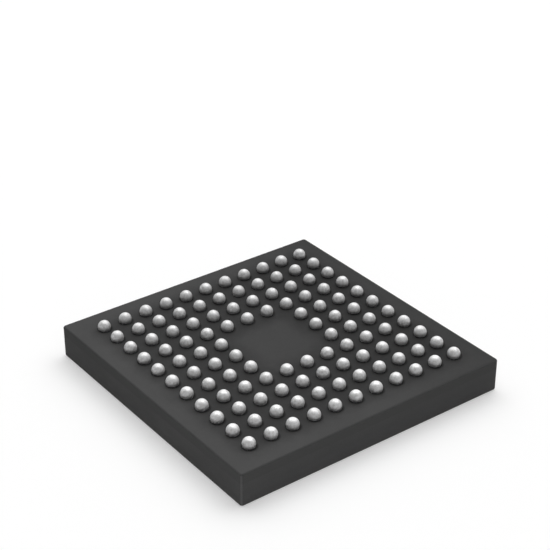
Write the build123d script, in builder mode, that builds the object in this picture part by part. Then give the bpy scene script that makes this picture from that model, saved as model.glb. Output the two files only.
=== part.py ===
from build123d import *

import math
import os

# A microcontroller in a ball-grid package. It lies on its moulded face with the solder balls up.
# The origin is the middle of the moulded face. Column 1 is towards +X and row A towards +Y.

# Ball grid: square, with a square of empty places in its middle
BALL_PITCH = 0.80
BALLS_PER_SIDE = 11
EMPTY_PER_SIDE = 3
EDGE_MARGIN = 1.00
ROW_LETTERS = "abcdefghjklmnprtuvwy"

# Solder ball: a sphere cut off by its land, in flat facets up to a small flat on top
LAND_DIAMETER = 0.385
STAND_OFF = 0.31
FACETS_PER_BAND = 10
BANDS_PER_BALL = 3
TOP_FLAT_ANGLE = 66

# Outer form of the body, with its sawn corners and rims slightly broken
SUBSTRATE_THICKNESS = 0.33
MOULD_COVER = 0.375
CORNER_BREAK = 0.06
EDGE_BREAK = 0.04

# Dimple in the moulded face, under the corner of ball A1
DIMPLE_DIAMETER = 1.15
DIMPLE_DEPTH = 0.09
DIMPLE_DRAFT = 20
DIMPLE_TO_EDGE = 1.00

# Silicon die and the adhesive that bonds it to the substrate
DIE_WIDTH = 4.20
DIE_THICKNESS = 0.25
ATTACH_THICKNESS = 0.025
ATTACH_BLEED = 0.10

# Bond wires from the pads of the die to the fingers of the substrate
WIRES_PER_SIDE = 15
WIRE_DIAMETER = 0.025
LOOP_HEIGHT = 0.15
PAD_INSET = 0.10
PAD_CORNER_MARGIN = 0.28
FINGER_GAP = 0.85
FINGER_CORNER_MARGIN = 0.70

# Heights above the moulded face
die_face_z = MOULD_COVER + LOOP_HEIGHT
attach_z = die_face_z + DIE_THICKNESS
substrate_z = attach_z + ATTACH_THICKNESS
ball_side_z = substrate_z + SUBSTRATE_THICKNESS

# Widths
body_width = (BALLS_PER_SIDE - 1) * BALL_PITCH + 2 * EDGE_MARGIN
pad_line = DIE_WIDTH / 2 - PAD_INSET
pad_spread = DIE_WIDTH - 2 * PAD_CORNER_MARGIN
finger_line = DIE_WIDTH / 2 + FINGER_GAP
finger_spread = 2 * (finger_line - FINGER_CORNER_MARGIN)

os.makedirs("parts", exist_ok=True)


def save(piece, name):
    piece.part.label = name
    export_step(piece.part, f"parts/{name}.step")


def body_outline():
    """Square outline that the substrate and the moulded body share, for use inside a sketch."""
    outline = Rectangle(body_width, body_width)
    chamfer(outline.vertices(), CORNER_BREAK)


# Substrate: a laminated board, flush with the moulded body
with BuildPart() as substrate:
    with BuildSketch(Plane.XY.offset(substrate_z)):
        body_outline()
    extrude(amount=SUBSTRATE_THICKNESS)
    chamfer(substrate.edges().group_by(Axis.Z)[-1], EDGE_BREAK)

save(substrate, "substrate")


# Die attach, on the inner face of the substrate, wider than the die by its bleed
with BuildPart() as die_attach:
    with BuildSketch(Plane.XY.offset(attach_z)):
        Rectangle(DIE_WIDTH + 2 * ATTACH_BLEED, DIE_WIDTH + 2 * ATTACH_BLEED)
    extrude(amount=ATTACH_THICKNESS)

save(die_attach, "die_attach")


# Die, with its pads on the face that looks away from the substrate
with BuildPart() as die:
    with BuildSketch(Plane.XY.offset(die_face_z)):
        Rectangle(DIE_WIDTH, DIE_WIDTH)
    extrude(amount=DIE_THICKNESS)

save(die, "die")


def wire_plane(side_angle, index):
    """Upright plane of one wire and the wire's reach. Local x runs from the pad out to the finger."""
    share = index / (WIRES_PER_SIDE - 1) - 0.5
    pad = Vector(pad_line, share * pad_spread, substrate_z).rotate(Axis.Z, side_angle)
    finger = Vector(finger_line, share * finger_spread, substrate_z).rotate(Axis.Z, side_angle)
    run = finger - pad
    towards_moulded_face = Vector(0, 0, -1)
    return Plane(origin=pad, x_dir=run, z_dir=run.cross(towards_moulded_face)), run.length


def wire_outline(reach):
    """Side view of one wire: up from the pad to the loop's top, then down a slope to the finger."""
    half = WIRE_DIAMETER / 2
    pad_height = substrate_z - die_face_z
    top = pad_height + LOOP_HEIGHT
    slope = math.atan2(top, reach + half)
    inner_top = top - WIRE_DIAMETER * math.tan(slope) - WIRE_DIAMETER / math.cos(slope)
    inner_end = reach - WIRE_DIAMETER / math.sin(slope)
    upper_side = [(-half, pad_height), (-half, top), (reach, 0)]
    lower_side = [(inner_end, 0), (half, inner_top), (half, pad_height)]
    return upper_side + lower_side


# Bond wires, one node for each side of the die
bond_wires = {}
for side, side_angle in {"right": 0, "back": 90, "left": 180, "front": 270}.items():
    with BuildPart() as wires:
        for index in range(WIRES_PER_SIDE):
            plane, reach = wire_plane(side_angle, index)
            with BuildSketch(plane):
                with BuildLine():
                    Polyline(*wire_outline(reach), close=True)
                make_face()
            extrude(amount=WIRE_DIAMETER / 2, both=True)
    bond_wires[side] = wires
    save(wires, f"bond_wires_{side}")


# Moulded body, cast around the die, its attach and the wires
with BuildPart() as mould_compound:
    with BuildSketch(Plane.XY):
        body_outline()
    extrude(amount=substrate_z)
    chamfer(mould_compound.edges().group_by(Axis.Z)[0], EDGE_BREAK)
    dimple_place = body_width / 2 - DIMPLE_TO_EDGE
    with BuildSketch(Plane.XY):
        with Locations((dimple_place, dimple_place)):
            Circle(DIMPLE_DIAMETER / 2)
    extrude(amount=DIMPLE_DEPTH, taper=DIMPLE_DRAFT, mode=Mode.SUBTRACT)
    add(die_attach.part, mode=Mode.SUBTRACT)
    add(die.part, mode=Mode.SUBTRACT)
    for wires in bond_wires.values():
        add(wires.part, mode=Mode.SUBTRACT)

save(mould_compound, "mould_compound")


def ball_rings():
    """Height and radius of each ring of a ball, from its land up to its flat."""
    ball_radius = (STAND_OFF**2 + (LAND_DIAMETER / 2) ** 2) / (2 * STAND_OFF)
    centre = STAND_OFF - ball_radius
    land_angle = -math.degrees(math.asin(centre / ball_radius))
    step = (TOP_FLAT_ANGLE - land_angle) / BANDS_PER_BALL
    rings = []
    for ring in range(BANDS_PER_BALL):
        angle = math.radians(land_angle + ring * step)
        rings.append((centre + ball_radius * math.sin(angle), ball_radius * math.cos(angle)))
    top_flat = (STAND_OFF, ball_radius * math.cos(math.radians(TOP_FLAT_ANGLE)))
    return rings + [top_flat]


# One solder ball, standing on the ball side of the substrate
with BuildPart() as solder_ball:
    rings = ball_rings()
    for (low, low_radius), (high, high_radius) in zip(rings, rings[1:]):
        lean = math.degrees(math.atan2(low_radius - high_radius, high - low))
        with BuildSketch(Plane.XY.offset(ball_side_z + low)):
            RegularPolygon(low_radius, FACETS_PER_BAND, major_radius=False)
        extrude(amount=high - low, taper=lean)


def row_places(row):
    """Places of the balls of one row, from column 1. The middle of the grid is left empty."""
    middle = (BALLS_PER_SIDE - 1) / 2
    y = (middle - row) * BALL_PITCH
    for column in range(BALLS_PER_SIDE):
        off_middle = max(abs(column - middle), abs(row - middle))
        if off_middle > EMPTY_PER_SIDE / 2:
            yield (middle - column) * BALL_PITCH, y


# Solder balls, one node for each lettered row
for row in range(BALLS_PER_SIDE):
    with BuildPart() as balls:
        with Locations(*row_places(row)):
            add(solder_ball.part)
    save(balls, f"solder_balls_row_{ROW_LETTERS[row]}")
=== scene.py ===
import math
import random

import bmesh
import bpy
import numpy as np
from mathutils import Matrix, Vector, noise


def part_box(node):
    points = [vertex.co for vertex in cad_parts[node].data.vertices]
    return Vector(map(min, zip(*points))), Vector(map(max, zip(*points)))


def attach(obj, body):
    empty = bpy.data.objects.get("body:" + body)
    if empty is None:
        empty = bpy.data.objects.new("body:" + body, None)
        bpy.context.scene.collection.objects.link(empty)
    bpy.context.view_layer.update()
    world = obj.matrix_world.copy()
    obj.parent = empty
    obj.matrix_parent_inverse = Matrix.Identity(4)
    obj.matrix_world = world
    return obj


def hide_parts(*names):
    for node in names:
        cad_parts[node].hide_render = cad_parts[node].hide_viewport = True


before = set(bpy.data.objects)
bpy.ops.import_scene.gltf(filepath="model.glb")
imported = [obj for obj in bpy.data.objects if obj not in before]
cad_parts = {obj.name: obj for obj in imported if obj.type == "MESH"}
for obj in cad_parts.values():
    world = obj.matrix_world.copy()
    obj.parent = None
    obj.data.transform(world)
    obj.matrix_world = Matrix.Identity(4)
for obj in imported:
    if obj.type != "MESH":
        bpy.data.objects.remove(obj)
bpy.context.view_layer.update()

# Lengths are in metres, as the frame is
MM = 0.001
MICRON = 0.000001

# Camera: a 100 mm lens that looks down over the near corner. Its axis misses the part's middle.
LENS_MM = 100
SENSOR_MM = 36
CAMERA_DISTANCE = 49.075 * MM
CAMERA_AZIMUTH = -36.867
CAMERA_ELEVATION = 32.409
VIEW_AZIMUTH = -36.798
VIEW_PITCH = 29.888
CLIP_START = 1 * MM
CLIP_END = 10

# Body: its sawn corners and its rims are round. A close row of vertices keeps the faces beside them flat.
CORNER_RADIUS = 0.10 * MM
RIM_RADIUS = 0.065 * MM
CORNER_SEGMENTS = 8
RIM_SEGMENTS = 6
SUPPORT = 0.015 * MM
BODY_SPECULAR = 0.05

# Dimple in the moulded face. The middle of its roundings lies in by a share of their radius.
DIMPLE_RADIUS = 0.575 * MM
DIMPLE_FLOOR_RADIUS = 0.542 * MM
DIMPLE_DEPTH = 0.09 * MM
DIMPLE_TO_EDGE = 1.00 * MM
DIMPLE_ROUNDING = 0.02 * MM
ROUNDING_SHARE = 0.3
DIMPLE_SEGMENTS = 96

# Painted shade on the board, darker from among the balls to a little way round them
PITCH = 0.80 * MM
EMPTY_PLACES = 3
GRID_PLACES = 11
PAINTED_SHADE_INSET = 0.10 * MM
PAINTED_SHADE_FADE = 0.42 * MM
PAINTED_SHADE_WOBBLE = 0.10 * MM
PAINTED_SHADE_IN_MIDDLE = 0.28
PAINTED_SHADE_TONE = 0.58

# Painted shadow on the board: a dark ring round each ball, a little to one side of it
PAINTED_SHADOW_OFFSET = (0.024 * MM, -0.018 * MM)
PAINTED_SHADOW_INNER = 0.21 * MM
PAINTED_SHADOW_OUTER = 0.28 * MM
PAINTED_SHADOW_TONE = 0.37

# Painted light, as factors of tone: lighter at the near corner and darker to the back, along Y and a
# share of X, lighter down at the foot of the sides, and lighter on the mask's left than on its right.
X_SHARE = 0.5
SOLDER_NEAR_PAINTED_LIGHT = 1.08
SOLDER_BACK_PAINTED_LIGHT = 0.88
SIDE_NEAR_PAINTED_LIGHT = 1.08
SIDE_BACK_PAINTED_LIGHT = 0.86
FOOT_PAINTED_LIGHT = 1.16
FOOT_HEIGHT = 0.5 * MM
MASK_LEFT_PAINTED_LIGHT = 1.11
MASK_RIGHT_PAINTED_LIGHT = 0.71
MASK_CURVE = 2.0

# Painted highlight on the sawn corners and painted shade on the upper rim, as factors of tone
CORNER_PAINTED_HIGHLIGHT = 1.50
UPPER_RIM_PAINTED_SHADE = 0.84

# Solder balls: their width is a share of the sphere that has their height and land
LAND_DIAMETER = 0.385 * MM
BALL_SEGMENTS = 48
BALL_RINGS = 24
BALL_WIDTHS = (0.962, 0.976)
BALL_DENT_SIZE = 0.16 * MM
BALL_DENT_DEPTH = 1.0 * MICRON
RANDOM_SEED = 112

# Studio: a white floor that curves up into a low wall all round. Only the camera and reflections see
# its lift, which is a glow that grows from the floor to the wall.
FLOOR_RADIUS = 360 * MM
COVE_RADIUS = 80 * MM
WALL_HEIGHT = 105 * MM
FLOOR_GAP = 1 * MICRON
COVE_SEGMENTS = 12
STUDIO_SEGMENTS = 96
FLOOR_WHITE = 0.66
FLOOR_ROUGHNESS = 0.9
FLOOR_LIFT = 0.36
WALL_LIFT = 0.64

# Light tent: its level all round, and its glows as azimuth, elevation, narrowness and level
TENT_LEVEL = 0.08
GLOW_BACK_LEFT = (188, 58, 10, 1.87)
GLOW_BACK_RIGHT = (98, 58, 10, 2.86)
GLOW_FRONT = (-24, 46, 10, 0.50)

# Softbox: one large lamp
SOFTBOX_DISTANCE = 400 * MM
SOFTBOX_WIDTH = 450 * MM
SOFTBOX_AZIMUTH = 146
SOFTBOX_ELEVATION = 48
SOFTBOX_LEVEL = 0.70

# Rows of balls, levels and half the body's width, as the frame gives them
rows = sorted(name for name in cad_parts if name.startswith("solder_balls_row_"))
moulded_face_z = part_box("mould_compound")[0].z
substrate_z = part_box("substrate")[0].z
ball_side_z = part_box("substrate")[1].z
half_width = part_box("substrate")[1].x


def direction(azimuth, elevation):
    """Unit vector from the part towards a viewer at that azimuth and elevation, in degrees."""
    a, e = math.radians(azimuth), math.radians(elevation)
    return Vector((math.sin(a) * math.cos(e), -math.cos(a) * math.cos(e), math.sin(e)))


def make_camera():
    """Camera over the near corner."""
    data = bpy.data.cameras.new("camera")
    data.lens = LENS_MM
    data.sensor_width = SENSOR_MM
    data.clip_start = CLIP_START
    data.clip_end = CLIP_END
    camera = bpy.data.objects.new("camera", data)
    bpy.context.scene.collection.objects.link(camera)
    middle = Vector((0, 0, ball_side_z))
    camera.location = middle + direction(CAMERA_AZIMUTH, CAMERA_ELEVATION) * CAMERA_DISTANCE
    camera.rotation_mode = "QUATERNION"
    camera.rotation_quaternion = (-direction(VIEW_AZIMUTH, VIEW_PITCH)).to_track_quat("-Z", "Y")
    bpy.context.scene.camera = camera


def feed(tree, socket, value):
    """Links a socket to an input, or sets the input to a plain value."""
    if isinstance(value, bpy.types.NodeSocket):
        tree.links.new(value, socket)
    else:
        socket.default_value = value


def add_node(tree, kind, settings=None, **inputs):
    """Adds one shader node. Inputs are named with _ for a space and hold a value or a socket."""
    made = tree.nodes.new("ShaderNode" + kind)
    for name, value in (settings or {}).items():
        setattr(made, name, value)
    for name, value in inputs.items():
        feed(tree, made.inputs[name.replace("_", " ")], value)
    return made


def calculate(tree, operation, *values):
    """Math node on values or sockets."""
    made = add_node(tree, "Math", {"operation": operation})
    for socket, value in zip(made.inputs, values):
        feed(tree, socket, value)
    return made.outputs["Value"]


def product(tree, *values):
    """Product of two or more values or sockets."""
    result = values[0]
    for value in values[1:]:
        result = calculate(tree, "MULTIPLY", result, value)
    return result


def axes(tree, vector):
    """X, Y and Z sockets of a vector."""
    return add_node(tree, "SeparateXYZ", Vector=vector).outputs


def facing(tree):
    """X, Y and Z sockets of the surface's normal."""
    return axes(tree, add_node(tree, "NewGeometry").outputs["Normal"])


def grey(value, warmth=0.0):
    """A grey with a slight tint: above 0 is warm, below 0 is cool."""
    return (value * (1 + warmth), value, value * (1 - warmth), 1.0)


def ramp(tree, factor, stops):
    """Colour ramp through stops of (position, colour)."""
    made = add_node(tree, "ValToRGB", Fac=factor)
    elements = made.color_ramp.elements
    while len(elements) < len(stops):
        elements.new(0.5)
    for element, (position, colour) in zip(elements, stops):
        element.position = position
        element.color = colour
    return made.outputs["Color"]


def spread(tree, value, low, high, start=0.3, end=0.7):
    """Maps values from start to end onto low to high."""
    made = add_node(tree, "MapRange", Value=value, From_Min=start, From_Max=end, To_Min=low, To_Max=high)
    return made.outputs["Result"]


def blend(tree, factor, low, high):
    """Value that goes from low to high with the factor. Both may be sockets."""
    made = add_node(tree, "Mix", {"data_type": "FLOAT"}, Factor=factor, A=low, B=high)
    return made.outputs["Result"]


def fade(tree, value, start, end):
    """Falls softly from 1 at start to 0 at end."""
    ends = {"From_Min": start, "From_Max": end, "To_Min": 1.0, "To_Max": 0.0}
    made = add_node(tree, "MapRange", {"interpolation_type": "SMOOTHSTEP"}, Value=value, **ends)
    return made.outputs["Result"]


def noise_of_size(tree, place, size, detail=3.0, roughness=0.55):
    """Noise whose features are about size metres across."""
    made = add_node(tree, "TexNoise", Vector=place, Scale=1 / size, Detail=detail, Roughness=roughness)
    return made.outputs["Fac"]


def grains_of_size(tree, place, size):
    """Cells about size metres across, each of one random colour."""
    return add_node(tree, "TexVoronoi", Vector=place, Scale=1 / size).outputs["Color"]


def start_material(name):
    """New material with a principled shader. Returns it, its tree, its shader and its place socket."""
    material = bpy.data.materials.new(name)
    material.use_nodes = True
    tree = material.node_tree
    shader = tree.nodes["Principled BSDF"]
    place = add_node(tree, "TexCoord").outputs["Object"]
    return material, tree, shader, place


def add_bump(tree, shader, layers):
    """Chains bumps onto the shader. Each layer is (height socket, depth in metres)."""
    normal = None
    for height, depth in layers:
        bump = add_node(tree, "Bump", Strength=1.0, Distance=depth, Height=height)
        if normal is not None:
            tree.links.new(normal, bump.inputs["Normal"])
        normal = bump.outputs["Normal"]
    tree.links.new(normal, shader.inputs["Normal"])


def towards_back(tree, place):
    """Grows from the near corner to the back: Y and a share of X."""
    parts = axes(tree, place)
    return calculate(tree, "ADD", parts["Y"], product(tree, parts["X"], X_SHARE))


def solder_material():
    """Frosted tin-silver-copper: satin metal, cloudy in patches, with a fine grain."""
    material, tree, shader, place = start_material("frosted_solder")
    clouds = noise_of_size(tree, place, 0.08 * MM, detail=4.0, roughness=0.65)
    grain = noise_of_size(tree, place, 0.035 * MM, detail=3.0)
    stops = [(0.30, grey(0.63, 0.01)), (0.50, grey(0.76)), (0.70, grey(0.87, -0.01))]
    colour = ramp(tree, clouds, stops)
    # Painted light: the balls are lighter towards the near corner and darker to the back
    back = towards_back(tree, place)
    painted_light_drift = spread(tree, back, SOLDER_NEAR_PAINTED_LIGHT, SOLDER_BACK_PAINTED_LIGHT, -half_width, half_width)
    tinted = add_node(tree, "VectorMath", {"operation": "SCALE"}, Vector=colour, Scale=painted_light_drift)
    tree.links.new(tinted.outputs["Vector"], shader.inputs["Base Color"])
    shader.inputs["Metallic"].default_value = 1.0
    tree.links.new(spread(tree, clouds, 0.66, 0.54), shader.inputs["Roughness"])
    add_bump(tree, shader, [(clouds, 5 * MICRON), (grain, 2.5 * MICRON)])
    return material


def facing_up(tree):
    """1 on faces that look up, 0 on upright and downward ones, smooth over a rounded rim."""
    return spread(tree, facing(tree)["Z"], 0.0, 1.0, 0.80, 0.99)


def painted_edge_light(tree):
    """Factor for a tone: a painted highlight on the sawn corners, painted shade on the upper rim and 1 on
    flat faces.
    """
    normal = facing(tree)
    across = [calculate(tree, "ABSOLUTE", part) for part in normal[:2]]
    # Each of the two products is 0 on a flat face and 0.5 in the middle of a rounding
    corner = spread(tree, product(tree, *across), 1.0, CORNER_PAINTED_HIGHLIGHT, 0.30, 0.50)
    tilt = product(tree, normal["Z"], calculate(tree, "MAXIMUM", *across))
    painted_rim_shade = spread(tree, tilt, 1.0, UPPER_RIM_PAINTED_SHADE, 0.15, 0.45)
    return product(tree, corner, painted_rim_shade)


def painted_shade_among_balls(tree, place):
    """Painted shade: 1 among the balls, 0 on the margins and low in the middle, with a soft uneven edge.
    """
    wobble = noise_of_size(tree, place, 0.5 * MM)
    shift = spread(tree, wobble, -PAINTED_SHADE_WOBBLE, PAINTED_SHADE_WOBBLE)
    parts = axes(tree, place)
    across = [calculate(tree, "ADD", calculate(tree, "ABSOLUTE", part), shift) for part in parts[:2]]
    # The whole grid, less its empty middle
    areas = []
    for places, depth in ((GRID_PLACES, 1.0), (EMPTY_PLACES, 1.0 - PAINTED_SHADE_IN_MIDDLE)):
        edge = places * PITCH / 2 - PAINTED_SHADE_INSET
        inside = [fade(tree, distance, edge - PAINTED_SHADE_FADE, edge + PAINTED_SHADE_FADE) for distance in across]
        areas.append(product(tree, *inside, depth))
    return calculate(tree, "SUBTRACT", *areas)


def painted_side_light(tree, place):
    """Painted light on the sides, as a factor for their tone: highest at the near corner's foot, and 1 on
    level faces.
    """
    near_corner = -(1 + X_SHARE) * half_width
    left_corner = (1 - X_SHARE) * half_width
    back = towards_back(tree, place)
    painted_light_drift = spread(tree, back, SIDE_NEAR_PAINTED_LIGHT, SIDE_BACK_PAINTED_LIGHT, near_corner, left_corner)
    foot_top = moulded_face_z + FOOT_HEIGHT
    painted_foot_light = spread(tree, axes(tree, place)["Z"], FOOT_PAINTED_LIGHT, 1.0, moulded_face_z, foot_top)
    level = calculate(tree, "ABSOLUTE", facing(tree)["Z"])
    return blend(tree, level, product(tree, painted_light_drift, painted_foot_light), 1.0)


def painted_ball_shadows(tree, place):
    """Painted shadow, as a factor for the mask's tone: dark close round each ball and 1 elsewhere."""
    parts = axes(tree, place)
    # Distance from the nearest place of the grid, whether a ball stands there or not
    squares = []
    for part, offset in zip(parts[:2], PAINTED_SHADOW_OFFSET):
        nearest = calculate(tree, "PINGPONG", calculate(tree, "SUBTRACT", part, offset), PITCH / 2)
        squares.append(calculate(tree, "POWER", nearest, 2.0))
    reach = calculate(tree, "SQRT", calculate(tree, "ADD", *squares))
    # The painted shadow: a dark ring, set a little to one side of each ball's place
    ring = fade(tree, reach, PAINTED_SHADOW_INNER, PAINTED_SHADOW_OUTER)
    # Only the places outside the empty middle hold a ball
    across = [calculate(tree, "ABSOLUTE", part) for part in parts[:2]]
    from_middle = calculate(tree, "MAXIMUM", *across)
    past_empty = calculate(tree, "GREATER_THAN", from_middle, EMPTY_PLACES * PITCH / 2)
    in_grid = calculate(tree, "LESS_THAN", from_middle, GRID_PLACES * PITCH / 2)
    return blend(tree, product(tree, ring, past_empty, in_grid), 1.0, PAINTED_SHADOW_TONE)


def board_material():
    """Substrate: matt black solder mask on the ball side, sawn laminate on the sides, with painted light
    and shade.
    """
    material, tree, shader, place = start_material("black_solder_mask")
    patches = noise_of_size(tree, place, 1.4 * MM)
    peel = noise_of_size(tree, place, 0.09 * MM)
    grain = noise_of_size(tree, place, 0.02 * MM, detail=2.0)
    mask = facing_up(tree)
    clean_tone = spread(tree, patches, 0.060, 0.066)
    # Painted light: the mask is lighter on the left and darker on the right
    left_to_right = spread(tree, axes(tree, place)["X"], 0.0, 1.0, -half_width, half_width)
    curve = calculate(tree, "POWER", left_to_right, MASK_CURVE)
    painted_light_drift = spread(tree, curve, MASK_LEFT_PAINTED_LIGHT, MASK_RIGHT_PAINTED_LIGHT, 0.0, 1.0)
    # Painted shade: the mask is darker among the balls
    shade_among_balls = blend(tree, painted_shade_among_balls(tree, place), 1.0, PAINTED_SHADE_TONE)
    # Painted shadow: a dark ring round each ball
    mask_tone = product(tree, clean_tone, painted_light_drift, shade_among_balls, painted_ball_shadows(tree, place))
    # Painted light on the sides: lighter at the near corner and at their foot
    side_tone = product(tree, spread(tree, grain, 0.073, 0.091), painted_side_light(tree, place))
    # Painted highlight on the sawn corners and painted shade on the upper rim
    tone = product(tree, blend(tree, mask, side_tone, mask_tone), painted_edge_light(tree))
    tree.links.new(tone, shader.inputs["Base Color"])
    shader.inputs["Specular IOR Level"].default_value = BODY_SPECULAR
    mask_gloss = spread(tree, peel, 0.56, 0.66)
    tree.links.new(blend(tree, mask, 0.75, mask_gloss), shader.inputs["Roughness"])
    add_bump(tree, shader, [(peel, 1.2 * MICRON), (grain, 0.8 * MICRON)])
    return material


def mould_material():
    """Moulded body: matt black epoxy with a fine filler grain, with painted light and shade on its sides
    and edges.
    """
    material, tree, shader, place = start_material("black_mould_compound")
    patches = noise_of_size(tree, place, 1.1 * MM)
    grain = noise_of_size(tree, place, 0.05 * MM, detail=4.0, roughness=0.65)
    epoxy = product(tree, spread(tree, patches, 0.083, 0.091), spread(tree, grain, 0.93, 1.07))
    # Painted light on the sides, and a painted highlight and shade on the edges
    tone = product(tree, epoxy, painted_side_light(tree, place), painted_edge_light(tree))
    tree.links.new(tone, shader.inputs["Base Color"])
    shader.inputs["Specular IOR Level"].default_value = BODY_SPECULAR
    tree.links.new(spread(tree, grain, 0.64, 0.76), shader.inputs["Roughness"])
    add_bump(tree, shader, [(grain, 2.5 * MICRON)])
    return material


def silicon_material():
    """Die: dark polished silicon with the blocks of its circuits."""
    material, tree, shader, place = start_material("silicon")
    blocks = grains_of_size(tree, place, 0.35 * MM)
    lines = noise_of_size(tree, place, 0.04 * MM)
    colour = ramp(tree, blocks, [(0.1, (0.10, 0.10, 0.13, 1.0)), (0.9, (0.24, 0.25, 0.29, 1.0))])
    tree.links.new(colour, shader.inputs["Base Color"])
    shader.inputs["Metallic"].default_value = 0.4
    tree.links.new(spread(tree, lines, 0.18, 0.32), shader.inputs["Roughness"])
    add_bump(tree, shader, [(lines, 0.5 * MICRON)])
    return material


def adhesive_material():
    """Die attach: grey resin filled with silver flakes."""
    material, tree, shader, place = start_material("silver_adhesive")
    flakes = grains_of_size(tree, place, 0.02 * MM)
    runs = noise_of_size(tree, place, 0.2 * MM)
    colour = ramp(tree, flakes, [(0.2, grey(0.42, 0.03)), (0.8, grey(0.64))])
    tree.links.new(colour, shader.inputs["Base Color"])
    tree.links.new(spread(tree, flakes, 0.3, 0.8), shader.inputs["Metallic"])
    tree.links.new(spread(tree, runs, 0.35, 0.55), shader.inputs["Roughness"])
    add_bump(tree, shader, [(runs, 4 * MICRON)])
    return material


def gold_material():
    """Bond wires: drawn gold."""
    material, tree, shader, place = start_material("bond_gold")
    streaks = noise_of_size(tree, place, 0.03 * MM)
    colour = ramp(tree, streaks, [(0.3, (0.86, 0.62, 0.24, 1.0)), (0.7, (0.95, 0.72, 0.32, 1.0))])
    tree.links.new(colour, shader.inputs["Base Color"])
    shader.inputs["Metallic"].default_value = 1.0
    tree.links.new(spread(tree, streaks, 0.18, 0.30), shader.inputs["Roughness"])
    add_bump(tree, shader, [(streaks, 0.6 * MICRON)])
    return material


def give(material, *names):
    """Gives CAD nodes a material in place of the plain one."""
    for name in names:
        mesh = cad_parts[name].data
        mesh.materials.clear()
        mesh.materials.append(material)


def add_piece(name, mesh, material, node):
    """Turns a mesh into a smooth piece that stands for a CAD node."""
    mesh.materials.append(material)
    mesh.shade_smooth()
    piece = bpy.data.objects.new(name, mesh)
    bpy.context.scene.collection.objects.link(piece)
    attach(piece, "root")
    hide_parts(node)


def circle(centre, radius, segments):
    """Outline of a circle whose middle lies at the same distance along X and Y."""
    angles = [math.tau * step / segments for step in range(segments)]
    return [(centre + radius * math.cos(a), centre + radius * math.sin(a)) for a in angles]


def rounded_square(half, radius):
    """Outline of a square with rounded corners, and a close point on each side of every arc."""
    points = []
    for turn in range(4):
        start = turn * math.pi / 2
        middle = start + math.pi / 4
        centre_x = math.copysign(half - radius, math.cos(middle))
        centre_y = math.copysign(half - radius, math.sin(middle))
        arc = []
        for step in range(CORNER_SEGMENTS + 1):
            angle = start + math.pi / 2 * step / CORNER_SEGMENTS
            arc.append((centre_x + radius * math.cos(angle), centre_y + radius * math.sin(angle)))
        along_x, along_y = SUPPORT * math.cos(start), SUPPORT * math.sin(start)
        before = (arc[0][0] + along_y, arc[0][1] - along_x)
        after = (arc[-1][0] - along_x, arc[-1][1] - along_y)
        points += [before, *arc, after]
    return points


def add_ring(bm, outline, z):
    """Vertices of an outline at one height."""
    return [bm.verts.new((x, y, z)) for x, y in outline]


def bridge(bm, rings):
    """Quads between each ring of vertices and the next."""
    for one, other in zip(rings, rings[1:]):
        for index in range(len(one)):
            after = (index + 1) % len(one)
            bm.faces.new((one[index], one[after], other[after], other[index]))


def side_rings(bm, joint_z, face_z):
    """Rings from the flush joint along the sides, round the rim and just onto the face."""
    outwards = math.copysign(1, face_z - joint_z)
    levels = [(0, joint_z), (0, face_z - outwards * (RIM_RADIUS + SUPPORT))]
    for step in range(RIM_SEGMENTS + 1):
        angle = math.pi / 2 * step / RIM_SEGMENTS
        inset = RIM_RADIUS * (1 - math.cos(angle))
        levels.append((inset, face_z - outwards * RIM_RADIUS * (1 - math.sin(angle))))
    levels.append((RIM_RADIUS + SUPPORT, face_z))
    rings = []
    for inset, z in levels:
        rings.append(add_ring(bm, rounded_square(half_width - inset, CORNER_RADIUS - inset), z))
    bridge(bm, rings)
    return rings


def close_joint(bm, ring):
    """Flat face inside the joint, met by the sides in a sharp edge."""
    joint = bm.faces.new(ring)
    for edge in joint.edges:
        edge.smooth = False


def to_mesh(bm, name):
    """Mesh with its normals outwards."""
    bmesh.ops.recalc_face_normals(bm, faces=bm.faces)
    mesh = bpy.data.meshes.new(name)
    bm.to_mesh(mesh)
    bm.free()
    return mesh


def make_substrate(material):
    """Board with its upper rim rounded. The balls stand on its flat upper face."""
    bm = bmesh.new()
    rings = side_rings(bm, substrate_z, ball_side_z)
    bm.faces.new(rings[-1])
    close_joint(bm, rings[0])
    add_piece("ball_side_board", to_mesh(bm, "ball_side_board"), material, "substrate")


def dimple_rings(bm):
    """Rings of the dimple, from just outside its mouth in the moulded face up to its floor."""
    middle = half_width - DIMPLE_TO_EDGE
    floor_z = moulded_face_z + DIMPLE_DEPTH
    corner = DIMPLE_ROUNDING * ROUNDING_SHARE
    rings = []
    for radius, z in (
        (DIMPLE_RADIUS + DIMPLE_ROUNDING + SUPPORT, moulded_face_z),
        (DIMPLE_RADIUS + DIMPLE_ROUNDING, moulded_face_z),
        (DIMPLE_RADIUS + corner, moulded_face_z + corner),
        (DIMPLE_RADIUS, moulded_face_z + DIMPLE_ROUNDING),
        (DIMPLE_FLOOR_RADIUS, floor_z - DIMPLE_ROUNDING),
        (DIMPLE_FLOOR_RADIUS - corner, floor_z - corner),
        (DIMPLE_FLOOR_RADIUS - DIMPLE_ROUNDING, floor_z),
        (DIMPLE_FLOOR_RADIUS - DIMPLE_ROUNDING - SUPPORT, floor_z),
    ):
        rings.append(add_ring(bm, circle(middle, radius, DIMPLE_SEGMENTS), z))
    bridge(bm, rings)
    return rings


def ring_edges(bm, ring):
    """Edges between the vertices of a ring."""
    return [bm.edges.get((ring[index - 1], ring[index])) for index in range(len(ring))]


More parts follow.
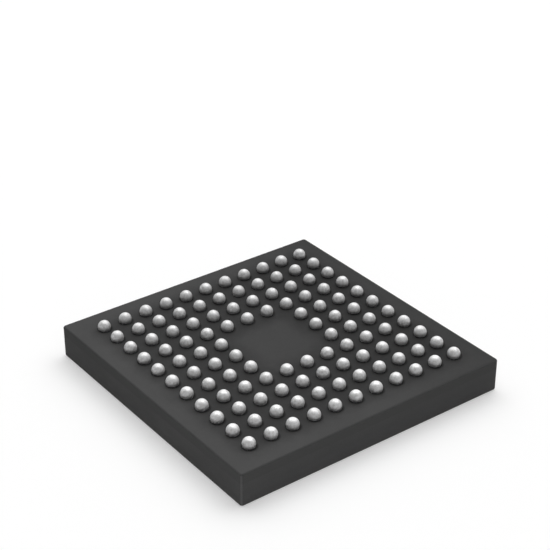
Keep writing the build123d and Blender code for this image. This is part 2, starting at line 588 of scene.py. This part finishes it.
def make_mould(material):
    """Moulded body with its lower rim rounded and a round dimple in its lower face."""
    bm = bmesh.new()
    sides = side_rings(bm, substrate_z, moulded_face_z)
    dimple = dimple_rings(bm)
    bm.faces.new(dimple[-1])
    close_joint(bm, sides[0])
    edges = ring_edges(bm, sides[-1]) + ring_edges(bm, dimple[0])
    bmesh.ops.triangle_fill(bm, use_beauty=True, use_dissolve=False, edges=edges, normal=(0, 0, -1))
    add_piece("moulded_body", to_mesh(bm, "moulded_body"), material, "mould_compound")


def ball_places(row):
    """Middles of the balls of one row, read from the gaps between the row's CAD solids."""
    corners = np.array([corner.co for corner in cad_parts[row].data.vertices])
    along = np.sort(corners[:, 0])
    splits = np.nonzero(np.diff(along) > LAND_DIAMETER / 2)[0]
    starts = along[np.append(0, splits + 1)]
    ends = along[np.append(splits, len(along) - 1)]
    y = (corners[:, 1].min() + corners[:, 1].max()) / 2
    return [((start + end) / 2, y) for start, end in zip(starts, ends)]


def sphere_direction(up, around):
    """Unit vector at an angle above the level and an angle round the upright, in radians."""
    return Vector((math.cos(up) * math.cos(around), math.cos(up) * math.sin(around), math.sin(up)))


def ball_vertices(x, y, stand_off, dice):
    """Rings of one ball from its land to its top, slightly uneven as a reflowed ball is."""
    radius = (stand_off**2 + (LAND_DIAMETER / 2) ** 2) / (2 * stand_off)
    centre = Vector((x, y, ball_side_z + stand_off - radius))
    land_angle = math.asin((radius - stand_off) / radius)
    width = dice.uniform(*BALL_WIDTHS)
    turn = dice.uniform(0, math.tau)
    vertices = []
    for ring in range(BALL_RINGS):
        up = land_angle + (math.pi / 2 - land_angle) * ring / BALL_RINGS
        for segment in range(BALL_SEGMENTS):
            outward = sphere_direction(up, turn + math.tau * segment / BALL_SEGMENTS)
            dent = noise.noise((centre + outward * radius) / BALL_DENT_SIZE) * BALL_DENT_DEPTH
            reach = radius * width + dent if ring else radius
            vertices.append(centre + Vector((outward.x * reach, outward.y * reach, outward.z * radius)))
    vertices.append(centre + Vector((0, 0, radius)))
    return vertices


def ball_faces(first):
    """Faces of the ball whose vertices start at first: its rings, its top and its flat land."""
    faces = []
    for ring in range(BALL_RINGS - 1):
        low = first + ring * BALL_SEGMENTS
        high = low + BALL_SEGMENTS
        for segment in range(BALL_SEGMENTS):
            after = (segment + 1) % BALL_SEGMENTS
            faces.append((low + segment, low + after, high + after, high + segment))
    last = first + (BALL_RINGS - 1) * BALL_SEGMENTS
    top = last + BALL_SEGMENTS
    for segment in range(BALL_SEGMENTS):
        faces.append((last + segment, last + (segment + 1) % BALL_SEGMENTS, top))
    faces.append(tuple(first + segment for segment in reversed(range(BALL_SEGMENTS))))
    return faces


def make_balls(row, material, dice):
    """One row of smooth balls in place of the row's faceted CAD solids."""
    low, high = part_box(row)
    vertices, faces = [], []
    for x, y in ball_places(row):
        faces += ball_faces(len(vertices))
        vertices += ball_vertices(x, y, high.z - low.z, dice)
    mesh = bpy.data.meshes.new("smooth_" + row)
    mesh.from_pydata(vertices, [], faces)
    add_piece("smooth_" + row, mesh, material, row)


def studio_profile():
    """Radius and height of the studio's floor, cove and wall, from the floor's edge outwards."""
    profile = [(FLOOR_RADIUS, 0)]
    for step in range(1, COVE_SEGMENTS + 1):
        angle = math.pi / 2 * step / COVE_SEGMENTS
        rise = COVE_RADIUS * (1 - math.cos(angle))
        profile.append((FLOOR_RADIUS + COVE_RADIUS * math.sin(angle), rise))
    return profile + [(FLOOR_RADIUS + COVE_RADIUS, WALL_HEIGHT)]


def make_studio():
    """White floor that curves up into a low wall. It keeps the part's soft shadow."""
    bm = bmesh.new()
    rings = []
    for radius, z in studio_profile():
        rings.append(add_ring(bm, circle(0, radius, STUDIO_SEGMENTS), z - FLOOR_GAP))
    bm.faces.new(rings[0])
    bridge(bm, rings)
    floor = bpy.data.objects.new("studio_floor", to_mesh(bm, "studio_floor"))
    bpy.context.scene.collection.objects.link(floor)
    material, tree, shader, place = start_material("white_floor")
    shader.inputs["Base Color"].default_value = grey(FLOOR_WHITE)
    shader.inputs["Roughness"].default_value = FLOOR_ROUGHNESS
    shader.inputs["Specular IOR Level"].default_value = 0.0
    rays = add_node(tree, "LightPath").outputs
    seen = calculate(tree, "MAXIMUM", rays["Is Camera Ray"], rays["Is Glossy Ray"])
    seen = calculate(tree, "MAXIMUM", seen, rays["Is Transmission Ray"])
    lift = spread(tree, axes(tree, place)["Z"], FLOOR_LIFT, WALL_LIFT, 0.0, COVE_RADIUS)
    shader.inputs["Emission Color"].default_value = grey(1.0)
    tree.links.new(product(tree, seen, lift), shader.inputs["Emission Strength"])
    floor.data.materials.append(material)


def make_world():
    """Light tent: dim all round, with two glows high up at the back and a small one in front."""
    world = bpy.data.worlds.new("light_tent")
    world.use_nodes = True
    tree = world.node_tree
    background = tree.nodes["Background"]
    background.inputs["Color"].default_value = grey(1.0)
    place = add_node(tree, "TexCoord").outputs["Generated"]
    level = TENT_LEVEL
    for azimuth, elevation, narrowness, strength in (GLOW_BACK_LEFT, GLOW_BACK_RIGHT, GLOW_FRONT):
        towards = add_node(tree, "VectorMath", {"operation": "DOT_PRODUCT"})
        tree.links.new(place, towards.inputs[0])
        towards.inputs[1].default_value = direction(azimuth, elevation)
        share = calculate(tree, "MAXIMUM", towards.outputs["Value"], 0.0)
        glow = product(tree, calculate(tree, "POWER", share, narrowness), strength)
        level = calculate(tree, "ADD", glow, level)
    tree.links.new(level, background.inputs["Strength"])
    bpy.context.scene.world = world


def make_softbox():
    """Large lamp over the part, behind it as the camera sees it. Its level is how bright its face is."""
    data = bpy.data.lights.new("softbox", "AREA")
    data.shape = "SQUARE"
    data.size = SOFTBOX_WIDTH
    data.energy = SOFTBOX_LEVEL * math.pi * SOFTBOX_WIDTH**2
    lamp = bpy.data.objects.new("softbox", data)
    lamp.visible_camera = False
    bpy.context.scene.collection.objects.link(lamp)
    lamp.location = direction(SOFTBOX_AZIMUTH, SOFTBOX_ELEVATION) * SOFTBOX_DISTANCE
    lamp.rotation_mode = "QUATERNION"
    lamp.rotation_quaternion = (-lamp.location).to_track_quat("-Z", "Y")


make_camera()
make_studio()
make_world()
make_softbox()

make_mould(mould_material())
make_substrate(board_material())
solder = solder_material()
dice = random.Random(RANDOM_SEED)
for row in rows:
    make_balls(row, solder, dice)
give(silicon_material(), "die")
give(adhesive_material(), "die_attach")
give(gold_material(), *(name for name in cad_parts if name.startswith("bond_wires_")))

bpy.context.scene.view_settings.view_transform = "Standard"
